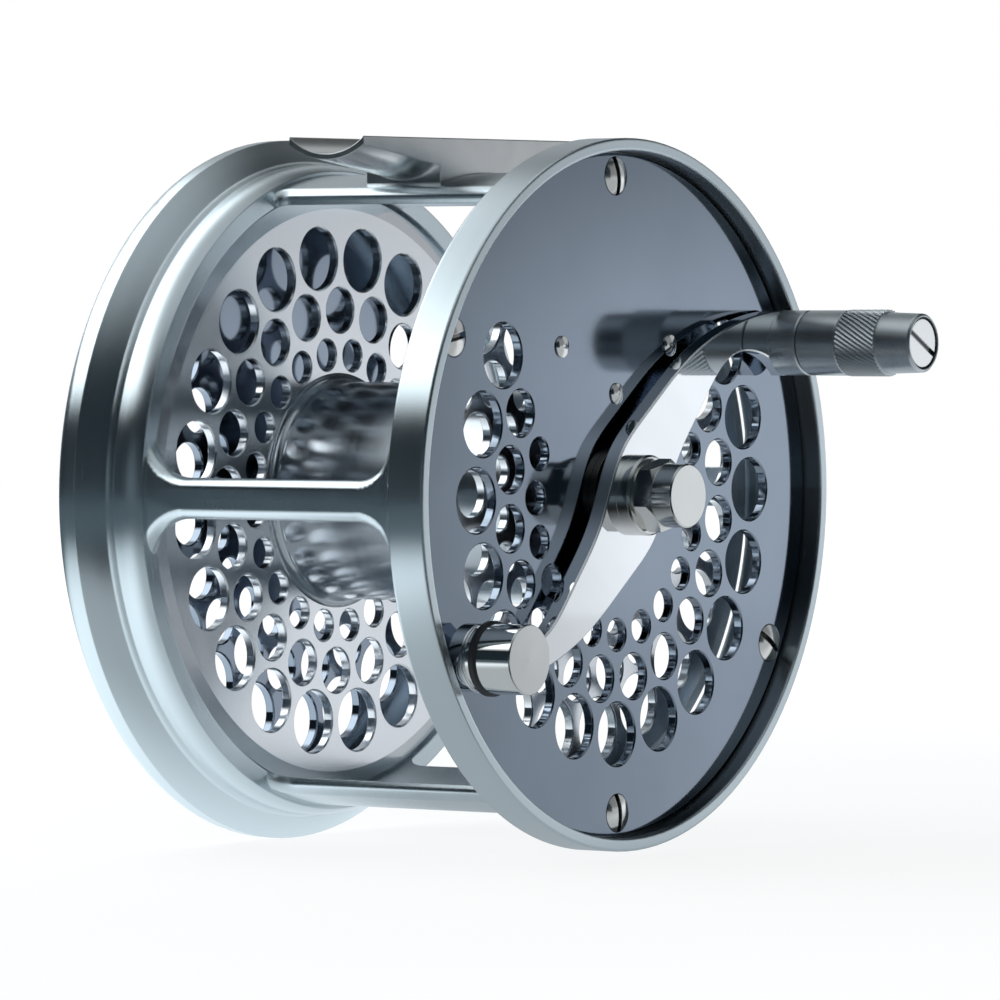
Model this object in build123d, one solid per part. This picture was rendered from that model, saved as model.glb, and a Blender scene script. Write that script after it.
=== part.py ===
from build123d import *
import os
from math import asin, atan2, cos, hypot, pi, radians, sin, sqrt

# A single-action fly reel with an open one-piece frame and an S-shaped crank.
# The spool axis is Y, the crank side faces -Y and the reel foot is on top (+Z).
# The origin is on the spool axis, half way between the spool flanges and under
# the middle of the foot. Angles are counter-clockwise as seen from the crank side,
# from +X. Every length is in millimetres.

NEAR = 0.01  # two places closer than this are the same

# Radii of the frame
RING_R = 50.8  # front ring, outside
BEAD_R = 51.3  # rear bead, outside
BAND_R = 47.65  # cylindrical band in front of the rear bead
BAND_FRONT_R = 46.7  # front edge of that band, at the windows
BAR_R = 46.1  # outside of the bars that join the rings
BORE_R = 44.0  # bore that the spool turns in
SEAT_R = 43.4  # bore of the two lands that carry the side plates
RECESS_R = 49.0  # recess of the front plate
REAR_RECESS_R = 47.9  # recess of the rear plate

# Stations along Y
FRONT_FACE = -28.8  # outer face of the front plate
PLATE_T = 1.6
FRONT_SEAT = FRONT_FACE + PLATE_T
FRONT_LIP = FRONT_FACE - 2.8
WINDOW_FRONT = FRONT_FACE + 6.8
WINDOW_REAR = FRONT_FACE + 49.3
BAND_FRONT = WINDOW_REAR + 3.0  # where the band reaches its full radius
REAR_SEAT = FRONT_FACE + 57.0
REAR_FACE = REAR_SEAT + PLATE_T
REAR_LIP = REAR_SEAT + 4.8
FLANGE_T = 1.6
FLANGE_FRONT = FRONT_FACE + 6.45
ARBOR_FRONT = FLANGE_FRONT + FLANGE_T
ARBOR_REAR = FRONT_FACE + 49.6
FLANGE_REAR = ARBOR_REAR + FLANGE_T
REAR_BUSH_FRONT = REAR_SEAT - 1.5

# Bars and windows of the frame
BAR_WIDTH = 6.0  # the two narrow side bars
BAR_ROUNDING = 1.5
TOP_BAR_HALF = 19.0  # half angle of the wide bar under the foot
BOTTOM_BAR_HALF = 20.7  # half angle of the wide bar at the bottom
SIDE_CORNERS = (5.6, 7.4)  # radii of the window corners at a side bar, at the front and rear ring
TOP_CORNERS = (2.8, 2.8)
BOTTOM_CORNERS = (4.0, 4.0)
WINDOW_SPARE = 2.0  # how far the window cutters reach beyond the stock
CORNER_OPENING = 0.4  # how far the rear corners stop short of running flush into the ring
SHOULDER_R = 4.7  # hollow between the front ring and the bars
SHOULDER_FRONT = FRONT_LIP + 6.1
SHOULDER_ROUNDING = 0.5
LIP_ROUNDING = 0.35
LAND_FRONT = FRONT_SEAT + 3.7  # the front land ends here
LAND_REAR = REAR_SEAT - 4.4  # the rear land starts here
LAND_SLOPE = 0.4

# Rear bead
BEAD_FRONT = FRONT_FACE + 54.7
BEAD_STEP = 0.5
BEAD_RISE = (0.75, 0.66)  # direction in which the bead leaves the cove in front of it
BEAD_FRONT_R = 3.2
BEAD_REAR_R = 2.3
BEAD_COVE = 1.0
BEAD_COVE_R = 2.2

# Side plates and their screws
FRONT_PLATE_R = 48.7
REAR_PLATE_R = 47.6
PLATE_EDGE = 0.35
FRONT_SCREW_CIRCLE = 45.46
REAR_SCREW_CIRCLE = 45.0
SCREW_ANGLES = [30, 90, 150, 210, 270, 330]
FRONT_SLOTS = [20, 100, 10, 65, 97, 144]
REAR_SLOTS = [75, 35, 110, 5, 150, 60]
PLATE_SCREW_HEAD_R = 2.7
PLATE_SCREW_RIM = 0.12  # depth of the fine ring left open round the head
PLATE_SCREW_DOME = 0.55
PLATE_SCREW_R = 1.5
PLATE_SCREW_LENGTH = 4.7
PLATE_SLOT_WIDTH = 0.9
PLATE_SLOT_DEPTH = 1.05
SUNK_SLOT_DEPTH = 0.4  # of the flat-headed screws' head depth
SUNK_SLOT_WIDTH = 0.3  # of their head radius
TAP_SPARE = 0.2  # how much deeper a tapped hole is than its screw

# The three rows of lightening holes: circle radius, hole radius, first angle
HOLE_ROWS = [(34.2, 4.55, 0), (26.4, 3.3, 9), (20.0, 2.28, 0)]
HOLES_PER_ROW = 20
HOLE_STEP = 360 / HOLES_PER_ROW
HOLE_BEVEL = 0.2
SOLID_HALF_ANGLES = [45, 50, 60]  # per row, the part of a side plate without holes, about the top
SPOOL_PHASE = 7.6  # turn of the spool's holes from those of the side plates

# Spool
FLANGE_R = 43.5
FLANGE_FACE_R = 41.25
FLANGE_RIM = 0.45
ARBOR_R = 15.9
ARBOR_COVE = 1.3
ARBOR_WALL = 3.4
ARBOR_HUB_R = 6.0
ARBOR_WEB = 3.0
SPOOL_SCREW_CIRCLE = 14.1
SPOOL_SCREW_ANGLES = [45, 135, 225, 315]
SPOOL_SCREW_HEAD_R = 1.8
SPOOL_SCREW_R = 1.0
SPOOL_SCREW_LENGTH = 5.0

# Spindle, bushes and the cap over the rear bush
SPINDLE_R = 3.0
THREAD_R = 1.9
SQUARE = 4.1
SQUARE_FIT = 0.02
BUSH_BORE_R = 3.04
PRESS_R = 3.005
BUSH_R = 5.2
BUSH_FLANGE_R = 7.0
BUSH_FLANGE_T = 1.1
BUSH_REAR = REAR_FACE + 0.9
END_PLAY = 0.1
CLIP_GROOVE_R = 2.3
CLIP_R = SPINDLE_R + 1.3
CLIP_T = 0.6
CLIP_MOUTH = 2.4
CLIP_FRONT = BUSH_REAR + END_PLAY
SPINDLE_REAR = CLIP_FRONT + 1.2
SPACER_R = 4.6
CAP_TOP = SPINDLE_REAR + 0.8
CAP_WALL = 0.6
CAP_EDGE = 1.5
CAP_R = 8.6

# Click: ratchet wheel, pawl and two leaf springs behind the front plate
TEETH = 24
WHEEL_TIP_R = 9.5
WHEEL_ROOT_R = 7.9
TOOTH_TIP_SHARE = 0.16  # of the pitch, width of a tooth's tip and half the width of its gap
WHEEL_FRONT = FLANGE_FRONT - 2.15
WHEEL_SCREW_CIRCLE = 5.6
WHEEL_SCREW_ANGLES = [30, 150, 270]
WHEEL_SCREW_HEAD_R = 1.3
WHEEL_SCREW_R = 0.65
WHEEL_SCREW_LENGTH = 3.6
WHEEL_HOLE_LENGTH = 6.0
PAWL_PLACE = (0, 14.4)
PAWL_FRONT = WHEEL_FRONT + 0.05
PAWL_T = 1.2
PAWL_REAR = PAWL_FRONT + PAWL_T
PAWL_EYE_R = 2.4
PAWL_WAIST = (0.95, 10.2)  # half width and height of the shoulders
PAWL_NOSE = (0.15, 8.5)  # half width and height of the tip
PIN_R = 1.0
PIN_GAP = 0.03
RIVET_HEAD_R = 1.55
RIVET_RIM = 0.2
RIVET_DOME = 0.5
PIVOT_SHOULDER_R = 1.9
PAWL_PLAY = 0.05
PAWL_CLIP_T = 0.35
PIVOT_SPARE = 0.45
POST_R = 1.2
POST_PLACES = [(-13.5, 21.2), (13.5, 21.2)]
SPRING_T = 0.3
SPRING_GAP = 0.01  # between a spring's loop and its post
SPRING_TIP = (-2.3, 12.3)

# Crank
ARM_FACE = FRONT_FACE - 3.9
ARM_T = 2.4
ARM_REAR = ARM_FACE + ARM_T
ARM_EDGE = 0.2
CRANK_ANGLE = 29.4
THROW = 43.6  # from the spool axis to the handle axis
WEIGHT_THROW = 44.1  # from the spool axis to the counterweight's axis
LOBE_R = 4.8
NEAR_LOBE_ANGLE = 238.6  # where an edge of the arm leaves one lobe
FAR_LOBE_ANGLE = 250.5  # where it reaches the other lobe
# One long edge of the arm between its lobes, with the handle on +X
ARM_EDGE_POINTS = [
    (37.1, 2.0),
    (30.5, 5.2),
    (20.3, 2.9),
    (9.6, -1.5),
    (0, -7.7),
    (-7.0, -9.1),
    (-21.2, -10.5),
    (-35.2, -8.5),
]
HUB_WASHER_R = 5.75
HUB_WASHER_T = 2.1
HUB_NUT_T = 3.1
HUB_NUT_FLATS = 9.3
HUB_NUT_TURN = 16.0
HUB_NUT_EDGE = 0.6
HUB_CAP_R = 4.55
HUB_CAP_T = 3.3
HUB_CAP_FLOOR = 0.8
HUB_CLEARANCE = 0.1
HUB_EDGE = 0.3

# Handle, measured outwards from the arm's face
COLLAR_END = 4.5
GRIP_START = 4.65
KNURL_START = 11.5
KNURL_END = 18.1
GRIP_END = 23.9
GRIP_R = 4.76
KNURL_R = 4.86
KNURL_DEPTH = 0.26
KNURL_FLUTES = 44
KNURL_TWIST = 46.0
KNURL_SECTIONS = 20
KNURL_SHOULDER = 0.25
GRIP_TAPER_R = 4.46
GRIP_END_R = 4.28
GRIP_END_ROUNDING = 0.3
GRIP_EDGE = 0.2
JOURNAL_R = 2.2
JOURNAL_GAP = 0.05
JOURNAL_END = 22.7
HANDLE_SCREW_R = 3.62
HANDLE_SCREW_GAP = 0.18
HANDLE_SCREW_T = 0.95
HANDLE_SCREW_EDGE = 0.15
HANDLE_SCREW_FLOOR = 0.06  # running gap between the grip and the screw's head
HANDLE_SHANK_R = 1.1
HANDLE_SHANK_END = 16.0
HANDLE_TAP_END = 15.0
HANDLE_SLOT = (0.75, 0.55)  # width and depth
HANDLE_SLOT_ANGLE = 151.0

# Counterweight, measured outwards from the arm's face
WEIGHT_R = 4.9
WEIGHT_LENGTH = 8.1
WEIGHT_EDGE = 0.15
WEIGHT_FOOT_END = 1.15
WEIGHT_LINE = (0.25, 0.45)  # a fine turned line in the foot, from and to
WEIGHT_LINE_DEPTH = 0.15
RING_GROOVE_R = 4.3
RING_GROOVE_END = 2.45
RING_OUTSIDE_R = 5.25
RING_ROUNDING = 0.3
WEIGHT_SCREW_HEAD_R = 2.4
WEIGHT_SCREW_R = 1.5
WEIGHT_SCREW_LENGTH = 6.8
WEIGHT_TAP_LENGTH = 7.0

# Foot
FOOT_LENGTH = 60.5
FOOT_WIDTH = 13.1
FOOT_RIM_Z = 51.0
FOOT_STOCK_Z = 41.0  # underside of the stock that the foot is cut from
FOOT_HOLLOW_R = 10.0
FOOT_UNDER_R = 11.5
FOOT_TIP_SIDE = 1.1
FOOT_RAMP = 2.7
FOOT_BLOCK_HALF = 11.9
FOOT_SCREWS = [-7.0, 7.0]
FOOT_SCREW_Z = 44.0
FOOT_SCREW_HEAD_R = 2.3
FOOT_SCREW_R = 1.25
FOOT_SCREW_LENGTH = 3.8


# ---------------------------------------------------------------- helpers


def polar(radius, angle):
    return (radius * cos(radians(angle)), radius * sin(radians(angle)))


def turned(*corners):
    """A solid of revolution about Y from (radius, y) corners."""
    return revolve(make_face(Polyline(*corners, close=True)), Axis.Y)


def disc(radius, y_front, y_back, at=(0, 0)):
    """A cylinder along Y, centred on the point at = (x, z)."""
    middle = Location((at[0], (y_front + y_back) / 2, at[1]), (90, 0, 0))
    return middle * Cylinder(radius, y_back - y_front)


def tube(outer, inner, y_front, y_back):
    return disc(outer, y_front, y_back) - disc(inner, y_front - 1, y_back + 1)


def prism(outline, y_front, y_back):
    """An outline drawn in (x, z), pushed out from y_back to y_front."""
    back = Plane(origin=(0, y_back, 0), x_dir=(1, 0, 0), z_dir=(0, -1, 0))
    return extrude(back * outline, amount=y_back - y_front)


def turn(angle):
    """A turn about the spool axis, counter-clockwise from the crank side."""
    return Rot(0, -angle, 0)


def move(point, y=0):
    return Pos(point[0], y, point[1])


def domed_screw(slot_angle):
    """A slotted side plate screw along Y: sunk in a plate whose face is at y = 0, domed to -Y."""
    head_r, shank_r, rim, end = PLATE_SCREW_HEAD_R, PLATE_SCREW_R, PLATE_SCREW_RIM, PLATE_SCREW_LENGTH
    neck = rim + head_r - shank_r
    top = -PLATE_SCREW_DOME
    profile = Curve() + [
        Line((0, end), (0, top)),
        TangentArc((0, top), (head_r, 0), tangent=(1, 0)),
        Polyline((head_r, 0), (head_r, rim), (shank_r, neck), (shank_r, end), (0, end)),
    ]
    slot = Pos(0, top, 0) * Box(2 * head_r + 1, 2 * PLATE_SLOT_DEPTH, PLATE_SLOT_WIDTH)
    return revolve(make_face(profile), Axis.Y) - turn(slot_angle) * slot


def domed_screw_hole():
    """The cutter through a side plate that seats a domed_screw, open above its head."""
    return sunk_hole(PLATE_SCREW_HEAD_R + PLATE_SCREW_RIM, PLATE_SCREW_R, 2 * PLATE_T)


def sunk_screw(head_r, shank_r, length):
    """A flat-headed slotted screw along Y: the head's face at y = 0, shank to +Y."""
    depth = head_r - shank_r
    body = turned((0, 0), (head_r, 0), (shank_r, depth), (shank_r, length), (0, length))
    return body - Box(2 * head_r + 1, 2 * SUNK_SLOT_DEPTH * depth, SUNK_SLOT_WIDTH * head_r)


def sunk_hole(head_r, shank_r, length):
    """The cutter that seats a sunk_screw of the same sizes, open above its head."""
    over = 2
    depth = head_r - shank_r
    shank = ((shank_r, depth), (shank_r, length), (0, length))
    return turned((0, -over), (head_r, -over), (head_r, 0), *shank)


# ---------------------------------------------------------------- frame


def frame_blank():
    """Front ring, barrel and rear ring turned in one piece, with its windows still closed."""
    hollow_end = SHOULDER_FRONT + SHOULDER_R
    hollow_middle = (RING_R - SHOULDER_R * sin(pi / 4), hollow_end - SHOULDER_R * cos(pi / 4))
    bead_start = (BAND_R + BEAD_STEP, BEAD_FRONT)
    band_start = (BAND_FRONT_R, WINDOW_REAR)
    band_full = (BAND_R, BAND_FRONT)
    bead_top = (BEAD_R, BEAD_FRONT + BEAD_FRONT_R)
    bead_back = (BEAD_R, REAR_LIP - BEAD_REAR_R)
    outline = Curve() + [
        Polyline((RECESS_R, FRONT_LIP), (RING_R, FRONT_LIP), (RING_R, SHOULDER_FRONT)),
        ThreePointArc((RING_R, SHOULDER_FRONT), hollow_middle, (BAR_R, hollow_end)),
        Polyline((BAR_R, hollow_end), (BAR_R, WINDOW_REAR), band_start),
        TangentArc(band_full, band_start, tangent=(0, -1)),
        Line(band_full, (BAND_R, BEAD_FRONT - BEAD_COVE)),
        RadiusArc((BAND_R, BEAD_FRONT - BEAD_COVE), bead_start, -BEAD_COVE_R),
        TangentArc(bead_start, bead_top, tangent=BEAD_RISE),
        Line(bead_top, bead_back),
        TangentArc(bead_back, (BEAD_R - BEAD_REAR_R, REAR_LIP), tangent=(0, 1)),
        Polyline(
            (BEAD_R - BEAD_REAR_R, REAR_LIP),
            (REAR_RECESS_R, REAR_LIP),
            (REAR_RECESS_R, REAR_SEAT),
            (SEAT_R, REAR_SEAT),
            (SEAT_R, LAND_REAR),
            (BORE_R, LAND_REAR - LAND_SLOPE),
            (BORE_R, LAND_FRONT + LAND_SLOPE),
            (SEAT_R, LAND_FRONT),
            (SEAT_R, FRONT_SEAT),
            (RECESS_R, FRONT_SEAT),
            (RECESS_R, FRONT_LIP),
        ),
    ]
    blank = revolve(make_face(outline), Axis.Y)
    lip_edges = blank.edges().filter_by(lambda e: abs(e.center().Y - FRONT_LIP) < NEAR)
    blank = fillet(lip_edges, LIP_ROUNDING)
    shoulder = blank.edges().filter_by(lambda e: abs(e.center().Y - SHOULDER_FRONT) < NEAR)
    return fillet(shoulder, SHOULDER_ROUNDING)


def window(start, end, start_corners, end_corners):
    """The cutter of one window between two angles, with its (front, rear) corner radii at each."""
    reach = RING_R + WINDOW_SPARE
    inner = BORE_R - WINDOW_SPARE
    rear = WINDOW_REAR + CORNER_OPENING
    wedge = Polyline((0, 0), polar(2 * reach, start), polar(2 * reach, end), close=True)
    cutter = prism(make_face(wedge), WINDOW_FRONT, rear) & tube(reach, inner, WINDOW_FRONT, rear)
    for angle, radii in ((start, start_corners), (end, end_corners)):
        for y, radius in zip((WINDOW_FRONT, rear), radii):
            spoke = [e for e in cutter.edges() if is_spoke(e, reach - inner, y, angle)]
            cutter = fillet(spoke, radius)
    return cutter & disc(2 * reach, WINDOW_FRONT - 1, WINDOW_REAR)


def is_spoke(edge, length, y, angle):
    middle = edge.center()
    x, z = polar(hypot(middle.X, middle.Z), angle)
    in_place = hypot(middle.X - x, middle.Y - y, middle.Z - z) < NEAR
    return in_place and abs(edge.length - length) < NEAR


def is_bar_edge(edge):
    """The long straight edges of the bars, on their outside."""
    middle = edge.center()
    outside = hypot(middle.X, middle.Z) > BAR_R - WINDOW_SPARE / 2
    long = edge.length > (WINDOW_REAR - WINDOW_FRONT) / 2
    return edge.geom_type == GeomType.LINE and long and outside


def make_frame():
    side = BAR_WIDTH / 2 / BAR_R * 180 / pi
    body = frame_blank() - [
        window(side, 90 - TOP_BAR_HALF, SIDE_CORNERS, TOP_CORNERS),
        window(90 + TOP_BAR_HALF, 180 - side, TOP_CORNERS, SIDE_CORNERS),
        window(180 + side, 270 - BOTTOM_BAR_HALF, SIDE_CORNERS, BOTTOM_CORNERS),
        window(270 + BOTTOM_BAR_HALF, 360 - side, BOTTOM_CORNERS, SIDE_CORNERS),
    ]
    body = fillet([e for e in body.edges() if is_bar_edge(e)], BAR_ROUNDING)
    tapped = PLATE_SCREW_LENGTH + TAP_SPARE
    front = disc(PLATE_SCREW_R, FRONT_SEAT - 1, FRONT_FACE + tapped)
    rear = disc(PLATE_SCREW_R, REAR_FACE - tapped, REAR_SEAT + 1)
    body -= [move(polar(FRONT_SCREW_CIRCLE, a)) * front for a in SCREW_ANGLES]
    body -= [move(polar(REAR_SCREW_CIRCLE, a)) * rear for a in SCREW_ANGLES]
    return body - foot_screw_holes()


# ---------------------------------------------------------------- side plates


def bevelled_hole(radius, y_front, y_back):
    """A cutter for a through hole with a small bevel at each mouth."""
    over = 0.1
    wide = radius + HOLE_BEVEL + over
    return turned(
        (0, y_front - over),
        (wide, y_front - over),
        (radius, y_front + HOLE_BEVEL),
        (radius, y_back - HOLE_BEVEL),
        (wide, y_back + over),
        (0, y_back + over),
    )


def hole_row(row, y_front, y_back, phase=0, solid_half_angle=0):
    """Cutters for one row of holes, leaving out those close to the top."""
    circle_r, hole_r, first = row
    cutter = bevelled_hole(hole_r, y_front, y_back)
    angles = [first + HOLE_STEP * k for k in range(HOLES_PER_ROW)]
    kept = [a for a in angles if not abs(a - 90) < solid_half_angle]
    return [move(polar(circle_r, a + phase)) * cutter for a in kept]


def side_plate_holes(y_front, y_back, screw_circle, screw_hole):
    """Lightening holes, screw holes and the bush hole of a side plate."""
    cutters = [move(polar(screw_circle, a)) * screw_hole for a in SCREW_ANGLES]
    cutters.append(disc(BUSH_R, y_front - 1, y_back + 1))
    for row, solid in zip(HOLE_ROWS, SOLID_HALF_ANGLES):
        cutters += hole_row(row, y_front, y_back, solid_half_angle=solid)
    return cutters


def make_front_plate():
    plate = turned(
        (0, FRONT_FACE),
        (FRONT_PLATE_R - PLATE_EDGE, FRONT_FACE),
        (FRONT_PLATE_R, FRONT_FACE + PLATE_EDGE),
        (FRONT_PLATE_R, FRONT_SEAT),
        (0, FRONT_SEAT),
    )
    screw_hole = Pos(0, FRONT_FACE, 0) * domed_screw_hole()
    plate -= side_plate_holes(FRONT_FACE, FRONT_SEAT, FRONT_SCREW_CIRCLE, screw_hole)
    return plate - [disc(PIN_R, FRONT_FACE - 1, FRONT_SEAT + 1, at) for at in [PAWL_PLACE, *POST_PLACES]]


def make_rear_plate():
    plate = turned(
        (0, REAR_SEAT),
        (REAR_PLATE_R, REAR_SEAT),
        (REAR_PLATE_R, REAR_FACE - PLATE_EDGE),
        (REAR_PLATE_R - PLATE_EDGE, REAR_FACE),
        (0, REAR_FACE),
    )
    screw_hole = Pos(0, REAR_FACE, 0) * Rot(180, 0, 0) * domed_screw_hole()
    return plate - side_plate_holes(REAR_SEAT, REAR_FACE, REAR_SCREW_CIRCLE, screw_hole)


def make_front_plate_screws():
    places = zip(SCREW_ANGLES, FRONT_SLOTS)
    return [move(polar(FRONT_SCREW_CIRCLE, a), FRONT_FACE) * domed_screw(slot) for a, slot in places]


def make_rear_plate_screws():
    places = zip(SCREW_ANGLES, REAR_SLOTS)
    flip = Rot(180, 0, 0)
    return [move(polar(REAR_SCREW_CIRCLE, a), REAR_FACE) * flip * domed_screw(slot) for a, slot in places]


# ---------------------------------------------------------------- foot


def foot_screw_place(x):
    """A foot screw points up from inside the bore, with its head sunk in the wide bar."""
    return Pos(x, 0, FOOT_SCREW_Z) * Rot(90, 0, 0)


def foot_screw_holes():
    cutter = sunk_hole(FOOT_SCREW_HEAD_R, FOOT_SCREW_R, FOOT_SCREW_LENGTH + TAP_SPARE)
    return [foot_screw_place(x) * cutter for x in FOOT_SCREWS]


def make_foot_screws():
    screw = sunk_screw(FOOT_SCREW_HEAD_R, FOOT_SCREW_R, FOOT_SCREW_LENGTH)
    return [foot_screw_place(x) * screw for x in FOOT_SCREWS]


def dip(radius):
    """How far a cylinder of this radius dips across the width of the foot."""
    return radius - sqrt(radius**2 - (FOOT_WIDTH / 2) ** 2)


def make_reel_foot():
    """A saddle block with two tongues that thin towards their tips, hollow along the top."""
    half = FOOT_LENGTH / 2
    tongue_length = half - FOOT_BLOCK_HALF
    middle = half - tongue_length / 2
    slope = atan2(FOOT_RAMP, tongue_length)
    tip_axis_z = FOOT_RIM_Z - FOOT_TIP_SIDE - dip(FOOT_UNDER_R) + FOOT_UNDER_R
    axis_z = tip_axis_z - FOOT_RAMP / 2
    under_turn = Rot(0, 90 - slope * 180 / pi, 0)
    under = Pos(middle, 0, axis_z) * under_turn * Cylinder(FOOT_UNDER_R, 3 * tongue_length)
    stock = FOOT_RIM_Z - FOOT_STOCK_Z
    tongue = Pos(middle, 0, FOOT_RIM_Z - stock / 2) * Box(tongue_length, FOOT_WIDTH, stock) & under
    block = Pos(0, 0, FOOT_RIM_Z - stock / 2) * Box(2 * FOOT_BLOCK_HALF, FOOT_WIDTH, stock)
    foot = block + tongue + Rot(0, 0, 180) * tongue
    hollow_z = FOOT_RIM_Z - dip(FOOT_HOLLOW_R) + FOOT_HOLLOW_R
    foot -= Pos(0, 0, hollow_z) * Rot(0, 90, 0) * Cylinder(FOOT_HOLLOW_R, FOOT_LENGTH + 2)
    foot -= disc(BAR_R, -FOOT_WIDTH, FOOT_WIDTH)
    return foot - foot_screw_holes()


# ---------------------------------------------------------------- bearings


def make_front_bushing():
    """A flanged bush pressed through the front plate; it runs up to the ratchet wheel."""
    front = FRONT_FACE - BUSH_FLANGE_T
    rear = WHEEL_FRONT - END_PLAY
    body = disc(BUSH_R, front, rear)
    body += disc(BUSH_FLANGE_R, front, FRONT_FACE)
    return body - disc(BUSH_BORE_R, front - 1, rear + 1)


def make_rear_bushing():
    """A flanged bush pressed into the rear plate from the spool side."""
    body = disc(BUSH_R, REAR_BUSH_FRONT, BUSH_REAR)
    body += disc(BUSH_FLANGE_R, REAR_BUSH_FRONT, REAR_SEAT)
    return body - disc(BUSH_BORE_R, REAR_BUSH_FRONT - 1, BUSH_REAR + 1)


def make_rear_bearing_cap():
    """A low domed cap over the rear end of the spindle, pushed on to the rear bush."""
    edge = REAR_FACE + CAP_EDGE
    profile = Curve() + [
        Line((0, REAR_FACE), (0, CAP_TOP)),
        TangentArc((0, CAP_TOP), (CAP_R, edge), tangent=(1, 0)),
        Polyline((CAP_R, edge), (CAP_R, REAR_FACE), (0, REAR_FACE)),
    ]
    cap = revolve(make_face(profile), Axis.Y)
    return cap - disc(BUSH_R, REAR_FACE - 1, CAP_TOP - CAP_WALL)


# ---------------------------------------------------------------- spool


def spool_flange(y_front):
    y_back = y_front + FLANGE_T
    flange = turned(
        (PRESS_R, y_front),
        (FLANGE_FACE_R, y_front),
        (FLANGE_R, y_front + FLANGE_RIM),
        (FLANGE_R, y_back - FLANGE_RIM),
        (FLANGE_FACE_R, y_back),
        (PRESS_R, y_back),
    )
    for row in HOLE_ROWS:
        flange -= hole_row(row, y_front, y_back, SPOOL_PHASE)
    return flange - spool_screw_holes()


def spool_screw_places():
    """Four screws from the outside of each flange into the ends of the arbor."""
    spots = [polar(SPOOL_SCREW_CIRCLE, a) for a in SPOOL_SCREW_ANGLES]
    front = [move(spot, FLANGE_FRONT) for spot in spots]
    return front + [move(spot, FLANGE_REAR) * Rot(180, 0, 0) for spot in spots]


def spool_screw_holes():
    cutter = sunk_hole(SPOOL_SCREW_HEAD_R, SPOOL_SCREW_R, SPOOL_SCREW_LENGTH + TAP_SPARE)
    return [place * cutter for place in spool_screw_places()]


def make_spool_screws():
    screw = sunk_screw(SPOOL_SCREW_HEAD_R, SPOOL_SCREW_R, SPOOL_SCREW_LENGTH)
    return [place * screw for place in spool_screw_places()]


def make_spool_front_flange():
    return spool_flange(FLANGE_FRONT) - wheel_screw_holes()


def make_spool_rear_flange():
    return spool_flange(ARBOR_REAR)


def make_spool_arbor():
    """A drum with a wall, a central hub and one web, coved where it meets the flanges."""
    foot_r = ARBOR_R + ARBOR_COVE
    front, rear = ARBOR_FRONT + ARBOR_COVE, ARBOR_REAR - ARBOR_COVE
    profile = Curve() + [
        Polyline((PRESS_R, ARBOR_FRONT), (foot_r, ARBOR_FRONT)),
        RadiusArc((foot_r, ARBOR_FRONT), (ARBOR_R, front), ARBOR_COVE),
        Line((ARBOR_R, front), (ARBOR_R, rear)),
        RadiusArc((ARBOR_R, rear), (foot_r, ARBOR_REAR), ARBOR_COVE),
        Polyline((foot_r, ARBOR_REAR), (PRESS_R, ARBOR_REAR), (PRESS_R, ARBOR_FRONT)),
    ]
    drum = revolve(make_face(profile), Axis.Y)
    wall_in = ARBOR_R - ARBOR_WALL
    drum -= tube(wall_in, ARBOR_HUB_R, ARBOR_FRONT - 1, -ARBOR_WEB / 2)
    drum -= tube(wall_in, ARBOR_HUB_R, ARBOR_WEB / 2, ARBOR_REAR + 1)
    return drum - spool_screw_holes()


def make_spindle():
    """One shaft: thread, square for the crank, journals and a groove for the rear clip."""
    tip = ARM_FACE - HUB_WASHER_T - HUB_NUT_T - HUB_CAP_T + HUB_CAP_FLOOR + HUB_CLEARANCE
    body = turned(
        (0, tip),
        (THREAD_R - HUB_EDGE, tip),
        (THREAD_R, tip + HUB_EDGE),
        (THREAD_R, ARM_FACE),
        (SPINDLE_R, ARM_FACE),
        (SPINDLE_R, CLIP_FRONT),
        (CLIP_GROOVE_R, CLIP_FRONT),
        (CLIP_GROOVE_R, CLIP_FRONT + CLIP_T),
        (SPINDLE_R, CLIP_FRONT + CLIP_T),
        (SPINDLE_R, SPINDLE_REAR),
        (0, SPINDLE_REAR),
    )
    return body - (disc(SPINDLE_R + 1, ARM_FACE, ARM_REAR) - crank_square(SQUARE))


def crank_square(across):
    """The square drive between spindle and crank, in line with the crank."""
    return turn(CRANK_ANGLE) * Pos(0, ARM_FACE + ARM_T / 2, 0) * Box(across, ARM_T, across)


def make_spindle_clip():
    """An open ring in the groove at the rear end of the spindle."""
    ring = tube(CLIP_R, CLIP_GROOVE_R, CLIP_FRONT, CLIP_FRONT + CLIP_T)
    return ring - Pos(0, CLIP_FRONT, -SPINDLE_R) * Box(CLIP_MOUTH, 4 * CLIP_T, 2 * SPINDLE_R)


def make_rear_spacer():
    """A sleeve on the spindle between the spool and the rear bush."""
    return tube(SPACER_R, PRESS_R, FLANGE_REAR, REAR_BUSH_FRONT - END_PLAY)


# ---------------------------------------------------------------- click


def make_ratchet_wheel():
    """A wheel with even-sided teeth, so that the click works in both directions."""
    pitch = 360 / TEETH
    share = TOOTH_TIP_SHARE * pitch
    corners = []
    for k in range(TEETH):
        gap = 90 + pitch * k
        tooth = gap + pitch / 2
        corners.append(polar(WHEEL_ROOT_R, gap - share))
        corners.append(polar(WHEEL_ROOT_R, gap + share))
        corners.append(polar(WHEEL_TIP_R, tooth - share / 2))
        corners.append(polar(WHEEL_TIP_R, tooth + share / 2))
    wheel = prism(make_face(Polyline(*corners, close=True)), WHEEL_FRONT, FLANGE_FRONT)
    wheel -= disc(PRESS_R, WHEEL_FRONT - 1, FLANGE_FRONT + 1)
    return wheel - wheel_screw_holes()


def wheel_screw_places():
    return [move(polar(WHEEL_SCREW_CIRCLE, a), WHEEL_FRONT) for a in WHEEL_SCREW_ANGLES]


def wheel_screw_holes():
    cutter = sunk_hole(WHEEL_SCREW_HEAD_R, WHEEL_SCREW_R, WHEEL_HOLE_LENGTH)
    return [place * cutter for place in wheel_screw_places()]


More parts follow.
